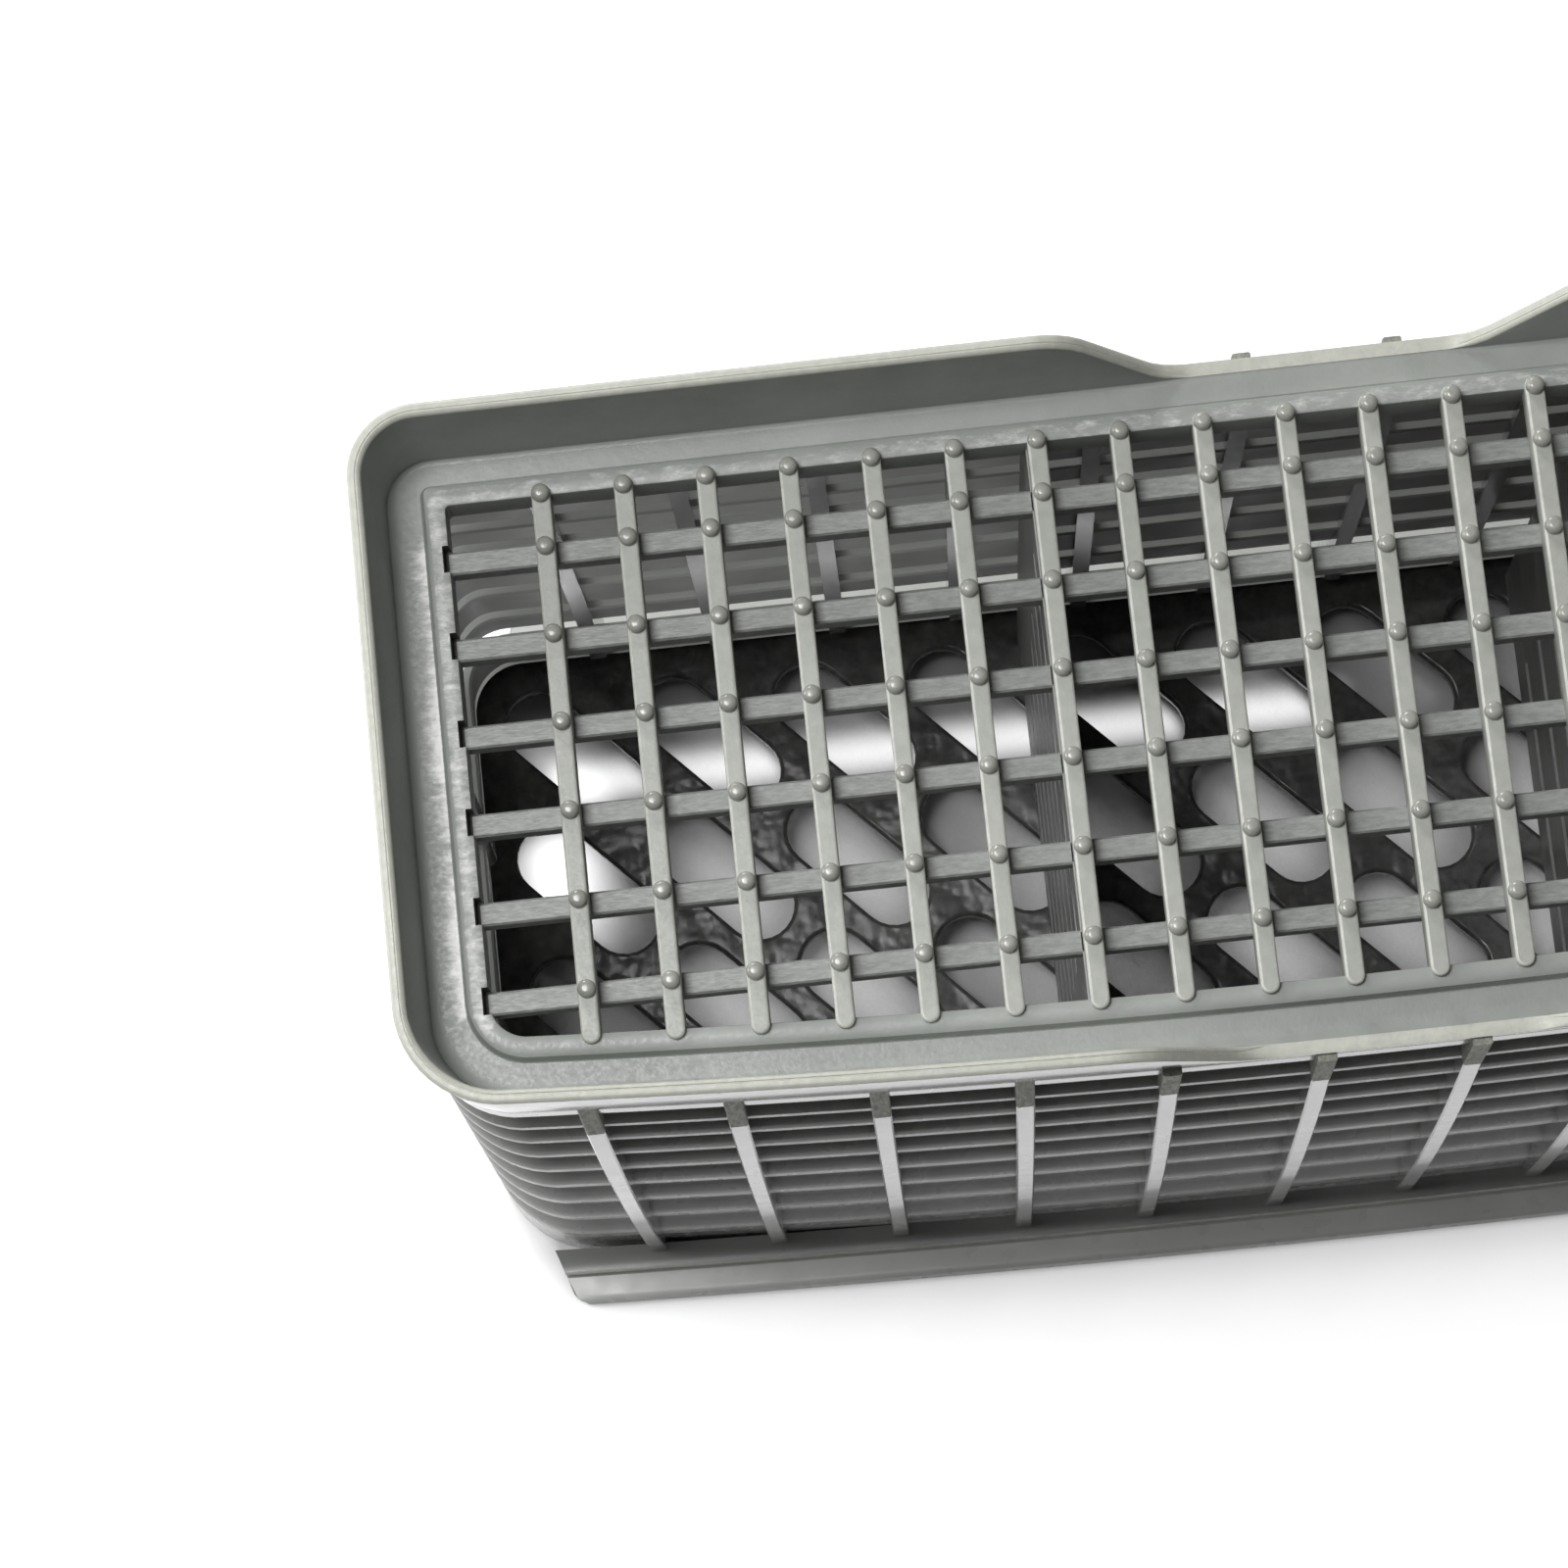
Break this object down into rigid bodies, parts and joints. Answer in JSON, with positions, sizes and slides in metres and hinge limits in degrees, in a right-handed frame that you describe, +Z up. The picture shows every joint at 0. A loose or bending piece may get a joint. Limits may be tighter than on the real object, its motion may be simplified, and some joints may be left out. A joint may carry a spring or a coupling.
{
  "type": "dishwasher cutlery basket",
  "caption": "Slim upright cutlery basket for a dishwasher, with a studded drain grid, louvred ribbed walls, cross walls and a slotted separator plate in its mouth.",
  "frame": {"origin": "middle of the footprint, on the surface that the mouth rim stands on", "axes": "+Z up towards the drain grid, X along the basket, +Y to the straight long side"},
  "size_m": [0.2396, 0.1036, 0.145],
  "materials": {
    "body": "satin moulded polypropylene, grey, with fine mould marks",
    "separator": "smooth moulded polypropylene, dark grey"
  },
  "bodies": {
    "root": {"basket_body": "body", "separator_plate": "separator"}
  },
  "joints": []
}
